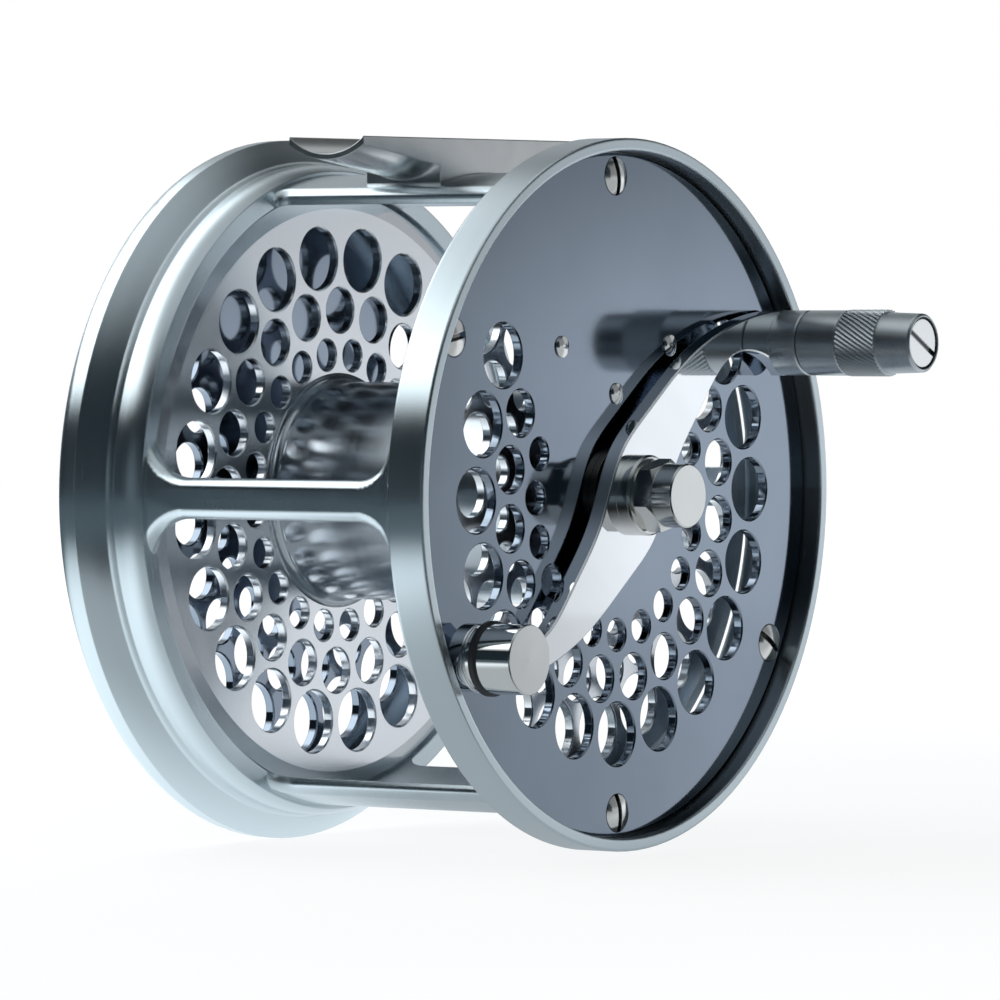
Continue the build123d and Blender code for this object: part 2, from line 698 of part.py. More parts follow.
def make_ratchet_screws():
    screw = sunk_screw(WHEEL_SCREW_HEAD_R, WHEEL_SCREW_R, WHEEL_SCREW_LENGTH)
    return [place * screw for place in wheel_screw_places()]


def make_click_pawl():
    """A round eye on the pivot and a tapered nose that rests in a tooth gap."""
    x, z = PAWL_PLACE
    right = [(PAWL_EYE_R, z), PAWL_WAIST, PAWL_NOSE]
    left = [(-across, height) for across, height in reversed(right)]
    nose = Polyline(*[(x + across, height) for across, height in right + left], close=True)
    pawl = disc(PAWL_EYE_R, PAWL_FRONT, PAWL_REAR, PAWL_PLACE)
    pawl += prism(make_face(nose), PAWL_FRONT, PAWL_REAR)
    return pawl - disc(PIN_R + PIN_GAP, PAWL_FRONT - 1, PAWL_REAR + 1, PAWL_PLACE)


def rivet(shoulder_r, shoulder_end, end):
    """A pin riveted into the front plate: domed head outside, shoulder and shaft inside."""
    rim = FRONT_FACE - RIVET_RIM
    dome = FRONT_FACE - RIVET_DOME
    profile = Curve() + [
        Line((0, end), (0, dome)),
        TangentArc((0, dome), (RIVET_HEAD_R, rim), tangent=(1, 0)),
        Polyline(
            (RIVET_HEAD_R, rim),
            (RIVET_HEAD_R, FRONT_FACE),
            (PIN_R, FRONT_FACE),
            (PIN_R, FRONT_SEAT),
            (shoulder_r, FRONT_SEAT),
            (shoulder_r, shoulder_end),
            (PIN_R, shoulder_end),
            (PIN_R, end),
            (0, end),
        ),
    ]
    return revolve(make_face(profile), Axis.Y)


def make_pawl_pivot():
    return move(PAWL_PLACE) * rivet(PIVOT_SHOULDER_R, PAWL_FRONT - PAWL_PLAY, PAWL_REAR + PIVOT_SPARE)


def make_pawl_clip():
    """A ring pushed on to the end of the pawl's pivot."""
    front = PAWL_REAR + PAWL_PLAY
    return move(PAWL_PLACE) * tube(PIVOT_SHOULDER_R, PIN_R, front, front + PAWL_CLIP_T)


def make_spring_posts():
    end = PAWL_REAR + PAWL_PLAY
    return [move(at) * rivet(POST_R, end, end + PAWL_PLAY) for at in POST_PLACES]


def make_click_springs():
    """Two mirrored leaf springs, each looped round its post, with its tip beside the pawl."""
    post = POST_PLACES[0]
    across, down = SPRING_TIP[0] - post[0], SPRING_TIP[1] - post[1]
    reach = hypot(across, down)
    loop_r = POST_R + SPRING_GAP + SPRING_T / 2
    length = sqrt(reach**2 - loop_r**2)
    aim = atan2(down, across) - asin(loop_r / reach)
    loop = Circle(loop_r + SPRING_T / 2) - Circle(loop_r - SPRING_T / 2)
    leaf = loop + Pos(length / 2, loop_r) * Rectangle(length, SPRING_T)
    leaf = Pos(*post) * Rot(0, 0, aim * 180 / pi) * leaf
    spring = prism(leaf, PAWL_FRONT, PAWL_REAR)
    return [spring, mirror(spring, about=Plane.YZ)]


# ---------------------------------------------------------------- crank


def on_crank(piece):
    """Turn a piece drawn with the handle on +X to the crank's resting angle."""
    return turn(CRANK_ANGLE) * piece


def crank_edge(near, far):
    """One long edge of the arm, from the lobe at x = near to the other lobe at x = -far.

    The other edge is the same curve turned by half a turn, which gives the S."""
    start = lobe_point(near, NEAR_LOBE_ANGLE)
    end = lobe_point(-far, FAR_LOBE_ANGLE)
    return [start, *ARM_EDGE_POINTS, end]


def lobe_point(centre, angle):
    across, up = polar(LOBE_R, angle)
    return (centre + across, up)


def make_crank_arm():
    edge = crank_edge(THROW, WEIGHT_THROW)
    other = [(-x, -z) for x, z in crank_edge(WEIGHT_THROW, THROW)]
    outline = Curve() + [
        Spline(*edge),
        ThreePointArc(edge[-1], (-WEIGHT_THROW - LOBE_R, 0), other[0]),
        Spline(*other),
        ThreePointArc(other[-1], (THROW + LOBE_R, 0), edge[0]),
    ]
    arm = on_crank(prism(make_face(outline), ARM_FACE, ARM_REAR))
    rim = arm.edges().filter_by(lambda e: abs(e.center().Y - ARM_FACE) < NEAR)
    arm = chamfer(rim, ARM_EDGE)
    arm -= crank_square(SQUARE + SQUARE_FIT)
    arm -= on_crank(disc(JOURNAL_R, ARM_FACE - 1, ARM_REAR + 1, (THROW, 0)))
    seat = sunk_hole(WEIGHT_SCREW_HEAD_R, WEIGHT_SCREW_R, 2 * ARM_T)
    return arm - on_crank(weight_screw_place() * seat)


def make_hub_washer():
    front = ARM_FACE - HUB_WASHER_T
    bore = THREAD_R + HUB_CLEARANCE
    return turned(
        (bore, front),
        (HUB_WASHER_R - HUB_EDGE, front),
        (HUB_WASHER_R, front + HUB_EDGE),
        (HUB_WASHER_R, ARM_FACE),
        (bore, ARM_FACE),
    )


def make_hub_nut():
    """A hexagon with its corners turned off at both faces."""
    rear = ARM_FACE - HUB_WASHER_T
    front = rear - HUB_NUT_T
    flat_r = HUB_NUT_FLATS / 2
    corner_r = HUB_NUT_FLATS / sqrt(3)
    corners = [polar(corner_r, HUB_NUT_TURN + 60 * k) for k in range(6)]
    nut = prism(make_face(Polyline(*corners, close=True)), front, rear)
    nut &= turned(
        (0, front),
        (flat_r, front),
        (corner_r, front + HUB_NUT_EDGE),
        (corner_r, rear - HUB_NUT_EDGE),
        (flat_r, rear),
        (0, rear),
    )
    return nut - disc(THREAD_R, front - 1, rear + 1)


def make_hub_cap():
    rear = ARM_FACE - HUB_WASHER_T - HUB_NUT_T
    front = rear - HUB_CAP_T
    cap = turned(
        (0, front),
        (HUB_CAP_R - ARM_EDGE, front),
        (HUB_CAP_R, front + ARM_EDGE),
        (HUB_CAP_R, rear),
        (0, rear),
    )
    return cap - disc(THREAD_R, front + HUB_CAP_FLOOR, rear + 1)


# ---------------------------------------------------------------- handle and counterweight


def on_handle(*profile):
    """A turned piece of the handle from (radius, distance from the arm's face) corners."""
    corners = [(radius, ARM_FACE - distance) for radius, distance in profile]
    return on_crank(move((THROW, 0)) * turned(*corners))


def make_handle_post():
    """The axle of the grip: through the arm, with a tapped hole in its outer end."""
    post = on_handle((0, -ARM_T), (JOURNAL_R, -ARM_T), (JOURNAL_R, JOURNAL_END), (0, JOURNAL_END))
    return post - handle_bore(HANDLE_SHANK_R, HANDLE_TAP_END)


def handle_bore(radius, start):
    """A cutter along the handle's axis, from a distance out of the arm's face to beyond the grip."""
    end = GRIP_END + 1
    return on_handle((0, start), (radius, start), (radius, end), (0, end))


def make_handle_collar():
    """The fixed collar between the arm and the turning grip."""
    return on_handle(
        (JOURNAL_R, 0),
        (GRIP_R, 0),
        (GRIP_R, COLLAR_END - GRIP_EDGE),
        (GRIP_R - GRIP_EDGE, COLLAR_END),
        (JOURNAL_R, COLLAR_END),
    )


def knurled_band():
    """A twisted prism whose outline has one ridge per flute."""
    points = 2 * KNURL_FLUTES
    radii = [KNURL_R, KNURL_R - KNURL_DEPTH] * KNURL_FLUTES
    sections = []
    for step in range(KNURL_SECTIONS + 1):
        share = step / KNURL_SECTIONS
        y = ARM_FACE - KNURL_START - (KNURL_END - KNURL_START) * share
        corners = [polar(r, KNURL_TWIST * share + 360 / points * k) for k, r in enumerate(radii)]
        plane = Plane(origin=(0, y, 0), x_dir=(1, 0, 0), z_dir=(0, -1, 0))
        sections.append(plane * make_face(Polyline(*corners, close=True)))
    return loft(sections)


def make_handle_grip():
    """The turning grip: smooth part, knurled band and a tapered end with a sunk face."""
    core_r = KNURL_R - KNURL_DEPTH - GRIP_EDGE
    outside = on_handle(
        (0, GRIP_START),
        (GRIP_R - GRIP_EDGE, GRIP_START),
        (GRIP_R, GRIP_START + GRIP_EDGE),
        (GRIP_R, KNURL_START - KNURL_SHOULDER),
        (core_r, KNURL_START),
        (core_r, KNURL_END),
        (GRIP_TAPER_R, KNURL_END),
        (GRIP_END_R, GRIP_END - GRIP_END_ROUNDING),
        (GRIP_END_R - GRIP_END_ROUNDING, GRIP_END),
        (0, GRIP_END),
    )
    grip = outside + on_crank(move((THROW, 0)) * knurled_band())
    grip -= handle_bore(JOURNAL_R + JOURNAL_GAP, GRIP_START - 1)
    return grip - handle_bore(HANDLE_SCREW_R + HANDLE_SCREW_GAP, JOURNAL_END - HANDLE_SCREW_FLOOR)


def make_handle_screw():
    """The wide slotted screw that keeps the grip on its post."""
    face = JOURNAL_END + HANDLE_SCREW_T
    screw = on_handle(
        (0, HANDLE_SHANK_END),
        (HANDLE_SHANK_R, HANDLE_SHANK_END),
        (HANDLE_SHANK_R, JOURNAL_END),
        (HANDLE_SCREW_R, JOURNAL_END),
        (HANDLE_SCREW_R, face - HANDLE_SCREW_EDGE),
        (HANDLE_SCREW_R - HANDLE_SCREW_EDGE, face),
        (0, face),
    )
    width, depth = HANDLE_SLOT
    slot = turn(HANDLE_SLOT_ANGLE - CRANK_ANGLE) * Box(3 * HANDLE_SCREW_R, 2 * depth, width)
    return screw - on_crank(move((THROW, 0), ARM_FACE - face) * slot)


def on_weight(*profile):
    """A turned piece of the counterweight from (radius, distance from the arm's face) corners."""
    corners = [(radius, ARM_FACE - distance) for radius, distance in profile]
    return on_crank(move((-WEIGHT_THROW, 0)) * turned(*corners))


def make_counterweight():
    """A short solid cylinder with a lined foot and a groove for its ring."""
    foot_r = WEIGHT_R - WEIGHT_EDGE
    line_start, line_end = WEIGHT_LINE
    weight = on_weight(
        (0, 0),
        (foot_r, 0),
        (foot_r, line_start),
        (foot_r - WEIGHT_LINE_DEPTH, (line_start + line_end) / 2),
        (foot_r, line_end),
        (foot_r, WEIGHT_FOOT_END),
        (RING_GROOVE_R, WEIGHT_FOOT_END),
        (RING_GROOVE_R, RING_GROOVE_END),
        (WEIGHT_R, RING_GROOVE_END),
        (WEIGHT_R, WEIGHT_LENGTH - WEIGHT_EDGE),
        (WEIGHT_R - WEIGHT_EDGE, WEIGHT_LENGTH),
        (0, WEIGHT_LENGTH),
    )
    return weight - on_crank(weight_screw_place() * disc(WEIGHT_SCREW_R, 0, WEIGHT_TAP_LENGTH))


def make_counterweight_ring():
    """A soft dark ring in the counterweight's groove, standing a little proud of it."""
    return on_weight(
        (RING_GROOVE_R, WEIGHT_FOOT_END),
        (RING_OUTSIDE_R - RING_ROUNDING, WEIGHT_FOOT_END),
        (RING_OUTSIDE_R, WEIGHT_FOOT_END + RING_ROUNDING),
        (RING_OUTSIDE_R, RING_GROOVE_END - RING_ROUNDING),
        (RING_OUTSIDE_R - RING_ROUNDING, RING_GROOVE_END),
        (RING_GROOVE_R, RING_GROOVE_END),
    )


def weight_screw_place():
    """The counterweight's screw enters from the back of the arm."""
    return Pos(-WEIGHT_THROW, ARM_REAR, 0) * Rot(180, 0, 0)


def make_counterweight_screw():
    screw = sunk_screw(WEIGHT_SCREW_HEAD_R, WEIGHT_SCREW_R, WEIGHT_SCREW_LENGTH)
    return on_crank(weight_screw_place() * screw)


# ---------------------------------------------------------------- the whole reel

PIECES = {
    "frame": make_frame,
    "front_plate": make_front_plate,
    "rear_plate": make_rear_plate,
    "front_plate_screws": make_front_plate_screws,
    "rear_plate_screws": make_rear_plate_screws,
    "reel_foot": make_reel_foot,
    "foot_screws": make_foot_screws,
    "front_bushing": make_front_bushing,
    "rear_bushing": make_rear_bushing,
    "rear_bearing_cap": make_rear_bearing_cap,
    "spindle": make_spindle,
    "spindle_clip": make_spindle_clip,
    "rear_spacer": make_rear_spacer,
    "spool_front_flange": make_spool_front_flange,
    "spool_rear_flange": make_spool_rear_flange,
    "spool_arbor": make_spool_arbor,
    "spool_screws": make_spool_screws,
    "ratchet_wheel": make_ratchet_wheel,
    "ratchet_screws": make_ratchet_screws,
    "click_pawl": make_click_pawl,
    "pawl_pivot": make_pawl_pivot,
    "pawl_clip": make_pawl_clip,
    "spring_posts": make_spring_posts,
    "click_springs": make_click_springs,
    "crank_arm": make_crank_arm,
    "hub_washer": make_hub_washer,
    "hub_nut": make_hub_nut,
    "hub_cap": make_hub_cap,
    "handle_post": make_handle_post,
    "handle_collar": make_handle_collar,
    "handle_grip": make_handle_grip,
    "handle_screw": make_handle_screw,
    "counterweight": make_counterweight,
    "counterweight_ring": make_counterweight_ring,
    "counterweight_screw": make_counterweight_screw,
}

os.makedirs("parts", exist_ok=True)
for name, make in PIECES.items():
    piece = make()
    if isinstance(piece, list):
        piece = Compound(children=piece)
    export_step(piece, f"parts/{name}.step")
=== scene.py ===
import math

import bpy
from mathutils import Matrix, Vector


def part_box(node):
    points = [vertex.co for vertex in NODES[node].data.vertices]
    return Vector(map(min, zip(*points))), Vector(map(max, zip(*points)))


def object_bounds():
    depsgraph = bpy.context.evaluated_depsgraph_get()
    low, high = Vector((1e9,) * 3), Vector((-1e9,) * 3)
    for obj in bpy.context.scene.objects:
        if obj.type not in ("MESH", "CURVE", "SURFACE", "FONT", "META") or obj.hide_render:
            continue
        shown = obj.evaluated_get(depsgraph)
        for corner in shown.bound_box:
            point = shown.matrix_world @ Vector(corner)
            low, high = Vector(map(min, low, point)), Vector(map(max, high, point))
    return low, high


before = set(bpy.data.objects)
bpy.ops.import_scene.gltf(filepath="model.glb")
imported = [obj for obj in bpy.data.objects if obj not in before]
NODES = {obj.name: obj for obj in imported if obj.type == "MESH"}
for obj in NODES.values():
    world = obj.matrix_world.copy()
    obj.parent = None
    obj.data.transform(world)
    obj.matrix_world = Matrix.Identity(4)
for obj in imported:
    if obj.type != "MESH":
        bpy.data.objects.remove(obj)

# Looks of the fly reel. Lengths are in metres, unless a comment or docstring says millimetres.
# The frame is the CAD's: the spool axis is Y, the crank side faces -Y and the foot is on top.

CAD_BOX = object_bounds()
MM = 0.001


def middle(node):
    low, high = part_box(node)
    return (low + high) / 2


# ---------------------------------------------------------------- shader helper

EDGE_TURN = (0.80, 0.99)  # cosine between rounded and true normal: a full edge, and open surface
BEVEL_SAMPLES = 4
OPEN_SAMPLES = 8


class Shader:
    """A node tree with short ways to feed it."""

    def __init__(self, tree):
        self.tree = tree

    def node(self, kind, *values, **settings):
        made = self.tree.nodes.new(kind)
        for name, value in settings.items():
            setattr(made, name, value)
        for socket, value in zip(made.inputs, values):
            self.feed(socket, value)
        return made

    def feed(self, socket, value):
        if value is None:
            return
        if isinstance(value, bpy.types.NodeSocket):
            self.tree.links.new(value, socket)
        else:
            socket.default_value = value

    def math(self, operation, a, b=None):
        return self.node("ShaderNodeMath", a, b, operation=operation).outputs[0]

    def combine(self, x, y, z):
        return self.node("ShaderNodeCombineXYZ", x, y, z).outputs[0]

    def split(self, vector):
        return self.node("ShaderNodeSeparateXYZ", vector).outputs

    def dot(self, a, b):
        return self.node("ShaderNodeVectorMath", a, b, operation="DOT_PRODUCT").outputs["Value"]

    def length(self, a, b):
        """The length of the vector with the sides a and b."""
        squares = self.math("ADD", self.math("MULTIPLY", a, a), self.math("MULTIPLY", b, b))
        return self.math("SQRT", squares)

    def spread(self, value, low, high, start=0.3, end=0.7, kind="LINEAR"):
        """Maps a value from start..end to low..high."""
        made = self.node("ShaderNodeMapRange", value, start, end, low, high, interpolation_type=kind)
        return made.outputs[0]

    def fade(self, value, low, high, start, end):
        """As spread, with a soft start and a soft end."""
        return self.spread(value, low, high, start, end, "SMOOTHSTEP")

    def mix(self, factor, colour_a, colour_b):
        made = self.node("ShaderNodeMix", data_type="RGBA")
        sockets = {socket.identifier: socket for socket in made.inputs}
        self.feed(sockets["Factor_Float"], factor)
        for name, value in (("A_Color", colour_a), ("B_Color", colour_b)):
            self.feed(sockets[name], (*value, 1) if isinstance(value, tuple) else value)
        return next(socket for socket in made.outputs if socket.identifier == "Result_Color")

    def place(self):
        """The point in the scene, in metres."""
        return self.node("ShaderNodeNewGeometry").outputs["Position"]

    def own_place(self):
        """The point in the piece's own resting frame, in metres."""
        return self.node("ShaderNodeTexCoord").outputs["Object"]

    def own_millimetres(self, centre=(0, 0, 0)):
        """The point in the piece's own resting frame, in millimetres from centre."""
        moved = self.node("ShaderNodeVectorMath", self.own_place(), tuple(centre), operation="SUBTRACT")
        scaled = self.node("ShaderNodeVectorMath", moved.outputs[0], operation="SCALE")
        scaled.inputs["Scale"].default_value = 1 / MM
        return scaled.outputs[0]

    def lathe(self, centre=(0, 0, 0)):
        """Radius, distance along Y and angle about a Y axis through centre, in millimetres."""
        x, y, z = self.split(self.own_millimetres(centre))
        return self.length(x, z), y, self.math("ARCTAN2", z, x)

    def stretch(self, vector, x=1.0, y=1.0, z=1.0):
        """The vector with its sides multiplied; a noise on it is long where they are small."""
        return self.node("ShaderNodeVectorMath", vector, (x, y, z), operation="MULTIPLY").outputs[0]

    def noise(self, vector, scale, detail, roughness=0.55):
        made = self.node("ShaderNodeTexNoise")
        self.feed(made.inputs["Vector"], vector)
        made.inputs["Scale"].default_value = scale
        made.inputs["Detail"].default_value = detail
        made.inputs["Roughness"].default_value = roughness
        return made.outputs[0]

    def bump(self, height, depth, normal=None):
        """A bump of the given depth in metres."""
        made = self.node("ShaderNodeBump")
        self.feed(made.inputs["Height"], height)
        made.inputs["Distance"].default_value = depth
        self.feed(made.inputs["Normal"], normal)
        return made.outputs[0]

    def round_edges(self, radius):
        """Softens hard edges in the shading by the given radius in metres."""
        return self.node("ShaderNodeBevel", radius, samples=BEVEL_SAMPLES).outputs[0]

    def edge_mask(self, rounded):
        """1 on sharp edges, 0 on open surface."""
        true_normal = self.node("ShaderNodeNewGeometry").outputs["Normal"]
        return self.spread(self.dot(rounded, true_normal), 1.0, 0.0, *EDGE_TURN)

    def open_share(self, reach):
        """1 on open surface, less in slots and corners up to the given reach in metres."""
        made = self.node("ShaderNodeAmbientOcclusion", samples=OPEN_SAMPLES)
        made.inputs["Distance"].default_value = reach
        return made.outputs["AO"]

    def turning_tangent(self, centre=(0, 0, 0)):
        """The direction of the lathe marks, round the Y axis through centre."""
        x, _, z = self.split(self.own_millimetres(centre))
        around = self.combine(self.math("MULTIPLY", z, -1.0), 0.0, x)
        turned = self.node("ShaderNodeVectorTransform", around, vector_type="VECTOR",
                           convert_from="OBJECT", convert_to="WORLD").outputs[0]
        return self.node("ShaderNodeVectorMath", turned, operation="NORMALIZE").outputs[0]


def new_material(name):
    """A material and the shader of its node tree."""
    material = bpy.data.materials.new(name)
    material.use_nodes = True
    return material, Shader(material.node_tree)


def finish_surface(shader, **inputs):
    bsdf = shader.tree.nodes["Principled BSDF"]
    for name, value in inputs.items():
        shader.feed(bsdf.inputs[name.replace("_", " ")], value)


def shade(colour, share):
    return tuple(min(1.0, c * share) for c in colour)


# ---------------------------------------------------------------- kinds of material
# Their patterns are laid out in millimetres: a noise of scale 1 has spots of about 1 mm.

TINT = 0.04  # how far a metal's tone drifts to either side
EDGE_WEAR = 0.25  # how much of the brighter tone a metal's edges take
WORN_SHADE = 1.2  # brightness of that tone against the metal's own
# Painted shade: the colour that slots and corners take, by how closed in they are
PAINTED_SHADE = (0.03, 0.028, 0.025)
PAINTED_SHADE_OPEN = (0.45, 0.9)  # open share of a surface that takes all the painted shade, and of one that takes none
RECESS_PAINTED_SHADE = 0.45  # brightness of the painted shade on a recess's wall against the metal's own
ACROSS_THE_MARKS = 0.25  # of a turn; lathe marks spread a reflection at right angles to themselves
MARKS_RANGE = (0.35, 0.65)  # where the mean of two noises mostly lies

WIPED_SHARE = 0.25  # what wiping adds to a polished plate's roughness
SCRATCHED_SHARE = 1.4  # roughness of its deepest scratches against its own
SCRATCH_RANGE = (0.45, 0.8)
HAZE_SHADE = 1.08
RUBBED_RIM = (0.5, 0.54, 0.6)
RIM_WEAR = 0.08  # how much of the rubbed tone its rims take

RUBBER = (0.012, 0.014, 0.018)
DUST = (0.06, 0.065, 0.07)
DUST_SHARE = 0.3  # the most dust in one place
DUST_RANGE = (0.5, 0.9)
DUST_ROUGHNESS = (0.4, 0.6)
DUST_HEIGHT = 4e-6


def varied_roughness(s, marks, haze, roughness, grain):
    """The roughness, up to half of grain lower or higher where the marks and the haze say so."""
    both = s.math("MULTIPLY", s.math("ADD", marks, haze), 0.5)
    return s.spread(both, roughness * (1 - grain / 2), roughness * (1 + grain / 2), *MARKS_RANGE)


def drifting_tone(s, haze, colour):
    """The colour, a little darker or lighter with the haze."""
    return s.mix(s.spread(haze, 0.0, 1.0), shade(colour, 1 - TINT), shade(colour, 1 + TINT))


def turned_metal(name, colour, roughness, centre=(0, 0, 0), grain=0.35, lines=9.0, depth=3e-7,
                 edge=0.0002, anisotropic=0.3, shade_reach=0.0, recess=None):
    """Metal finished on a lathe about the Y axis through centre: fine rings, faint handling marks
    and brighter edges.

    grain is how much the roughness varies, lines how close the rings are, depth how deep they
    are, edge the rounding of the edges and shade_reach the reach of painted shade in slots and corners.
    recess is the radius and the end along Y, in millimetres, of a recess whose wall gets painted shade.
    """
    material, s = new_material(name)
    radius, y, angle = s.lathe(centre)
    unrolled = s.combine(radius, y, angle)
    rings = s.noise(s.stretch(unrolled, z=0.35), scale=lines, detail=4.0, roughness=0.7)
    handling = s.noise(s.stretch(unrolled, z=2.0), scale=0.12, detail=2.0)
    rounded = s.round_edges(edge)
    worn = s.math("MULTIPLY", s.edge_mask(rounded), EDGE_WEAR)
    tone = s.mix(worn, drifting_tone(s, handling, colour), shade(colour, WORN_SHADE))
    # Painted shade: slots and corners are darkened by how closed in they are.
    if shade_reach:
        tone = s.mix(s.spread(s.open_share(shade_reach), 0.0, 1.0, *PAINTED_SHADE_OPEN), PAINTED_SHADE, tone)
    # Painted shade on the wall of a recess, such as the frame's wall round the front plate.
    if recess:
        recess_radius, recess_end = recess
        in_painted_shade = s.math("LESS_THAN", radius, recess_radius)
        in_painted_shade = s.math("MULTIPLY", in_painted_shade, s.math("LESS_THAN", y, recess_end))
        tone = s.mix(in_painted_shade, tone, shade(colour, RECESS_PAINTED_SHADE))
    finish_surface(s, Base_Color=tone, Metallic=1.0, Normal=s.bump(rings, depth, rounded))
    finish_surface(s, Roughness=varied_roughness(s, rings, handling, roughness, grain))
    finish_surface(s, Anisotropic=anisotropic, Anisotropic_Rotation=ACROSS_THE_MARKS)
    finish_surface(s, Tangent=s.turning_tangent(centre))
    return material


def drawn_metal(name, colour, roughness, grain=0.3, depth=3e-7, edge=0.0002):
    """Metal rubbed along X: long fine scratches and faint handling marks."""
    material, s = new_material(name)
    point = s.own_millimetres()
    scratches = s.noise(s.stretch(point, x=0.04), scale=7.0, detail=4.0, roughness=0.7)
    handling = s.noise(point, scale=0.2, detail=2.0)
    rough = varied_roughness(s, scratches, handling, roughness, grain)
    lit = s.bump(scratches, depth, s.round_edges(edge))
    tone = drifting_tone(s, handling, colour)
    finish_surface(s, Base_Color=tone, Metallic=1.0, Roughness=rough, Normal=lit)
    return material


def black_mirror(name, colour, roughness=0.07, edge=0.00012):
    """A black, polished plate: faint wipe marks, fine scratches and slightly worn rims."""
    material, s = new_material(name)
    point = s.own_millimetres()
    haze = s.noise(point, scale=0.06, detail=3.0)
    scratches = s.noise(s.stretch(point, x=0.25, z=3.0), scale=1.3, detail=6.0, roughness=0.75)
    wiped = s.spread(haze, 0.0, WIPED_SHARE * roughness)
    scratched = s.spread(scratches, roughness, roughness * SCRATCHED_SHARE, *SCRATCH_RANGE)
    tone = s.mix(s.spread(haze, 0.0, 1.0), colour, shade(colour, HAZE_SHADE))
    rounded = s.round_edges(edge)
    tone = s.mix(s.math("MULTIPLY", s.edge_mask(rounded), RIM_WEAR), tone, RUBBED_RIM)
    rough = s.math("ADD", wiped, scratched)
    finish_surface(s, Base_Color=tone, Metallic=1.0, Roughness=rough, Normal=rounded)
    return material


def black_rubber(name):
    """A soft black ring with a little dust in its surface."""
    material, s = new_material(name)
    dust = s.noise(s.own_millimetres(), scale=6.0, detail=5.0, roughness=0.7)
    tone = s.mix(s.spread(dust, 0.0, DUST_SHARE, *DUST_RANGE), RUBBER, DUST)
    rough = s.spread(dust, *DUST_ROUGHNESS)
    finish_surface(s, Base_Color=tone, Roughness=rough, Normal=s.bump(dust, DUST_HEIGHT))
    return material


# ---------------------------------------------------------------- the reel's materials

PLATE_GAP = 0.35  # a little more than the gap round the front plate, in millimetres
HARD_EDGE = 28  # degrees between two faces that meet in a hard edge


def assign(material, *names):
    for name in names:
        piece = NODES[name]
        piece.data.materials.clear()
        piece.data.materials.append(material)


def dress_frame():
    """The frame with its plates and foot; the frame's wall round the front plate gets painted shade."""
    plate_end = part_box("front_plate")[1] / MM
    recess = (plate_end.x + PLATE_GAP, plate_end.y)
    satin = turned_metal("satin_aluminium", (0.68, 0.76, 0.80), 0.25, grain=0.2, depth=1e-8,
                         edge=0.0003, anisotropic=0.8, recess=recess)
    assign(satin, "frame")
    assign(black_mirror("black_plate", (0.27, 0.315, 0.38)), "front_plate", "rear_plate", "rear_bearing_cap")
    assign(drawn_metal("foot_nickel", (0.74, 0.75, 0.75), 0.2), "reel_foot")


def dress_spool():
    flange = turned_metal("turned_flange", (0.84, 0.86, 0.89), 0.2, edge=0.00012, anisotropic=0.6)
    assign(flange, "spool_front_flange", "spool_rear_flange")
    arbor = turned_metal("polished_arbor", (0.55, 0.59, 0.63), 0.2, grain=0.5, lines=6.0)
    assign(arbor, "spool_arbor")


def dress_crank():
    mirror = turned_metal("crank_mirror", (0.92, 0.94, 0.96), 0.04, depth=1e-7, anisotropic=0.0)
    assign(mirror, "crank_arm")
    hub = turned_metal("hub_nickel", (0.80, 0.81, 0.79), 0.16, edge=0.0001)
    assign(hub, "hub_washer", "hub_nut", "hub_cap")
    grip_axis = middle("handle_grip")
    handle = turned_metal("handle_satin", (0.62, 0.67, 0.70), 0.32, grip_axis, depth=1e-7)
    assign(handle, "handle_collar", "handle_grip")
    # The screw face gets painted shade in its slot.
    face = turned_metal("handle_screw_face", (0.90, 0.91, 0.91), 0.16, grip_axis, shade_reach=0.0007)
    assign(face, "handle_screw")
    weight = turned_metal("polished_weight", (0.88, 0.89, 0.88), 0.07, middle("counterweight"))
    assign(weight, "counterweight")
    assign(black_rubber("ring_rubber"), "counterweight_ring")


def dress_small_parts():
    # Screws and the like get painted shade in their slots.
    steel = turned_metal("screw_steel", (0.82, 0.82, 0.80), 0.14, shade_reach=0.001)
    assign(steel, "front_plate_screws", "rear_plate_screws", "foot_screws", "spool_screws")
    assign(steel, "ratchet_screws", "counterweight_screw", "spindle", "rear_spacer", "handle_post")
    assign(turned_metal("polished_rivet", (0.88, 0.88, 0.86), 0.08), "pawl_pivot", "spring_posts")
    assign(turned_metal("click_steel", (0.56, 0.56, 0.55), 0.25), "ratchet_wheel", "click_pawl")
    spring = turned_metal("spring_steel", (0.40, 0.42, 0.48), 0.2)
    assign(spring, "click_springs", "spindle_clip", "pawl_clip")
    assign(turned_metal("oiled_bronze", (0.16, 0.14, 0.12), 0.25), "front_bushing", "rear_bushing")


def smooth_shading():
    for piece in NODES.values():
        piece.data.shade_smooth()
        split = piece.modifiers.new("hard_edges", "EDGE_SPLIT")
        split.split_angle = math.radians(HARD_EDGE)


# ---------------------------------------------------------------- studio
# A FADE holds the light at its start and at its end, then where it starts and where it ends.
# Colours and fades above 1 are brighter than white.

CAMERA_AZIMUTH = -54.4
CAMERA_ELEVATION = 1.6
CAMERA_ROLL = -0.165
CAMERA_DISTANCE = 1.043
CAMERA_LENS = 263.3  # millimetres
CAMERA_SENSOR = 36
CAMERA_AIM = Vector((-9.7, -15.3, -0.7)) * MM

ROOM = (0.012, 0.02, 0.026)
# Soft lights of the room: azimuth, elevation, half angles of the full and the faded part, colour
ROOM_LIGHTS = [
    (126, 5, 5, 45, (0.42, 0.47, 0.50)),
    (-92, -4, 4, 26, (0.12, 0.15, 0.17)),
    (-40, 78, 8, 48, (0.50, 0.54, 0.56)),
    (169, 59, 22, 49, (0.9, 0.95, 0.98)),
]
GROUND = (0.10, 0.14, 0.17)
GROUND_FADE = (1.0, 0.0, -0.10, -0.03)  # by the height of the direction looked in

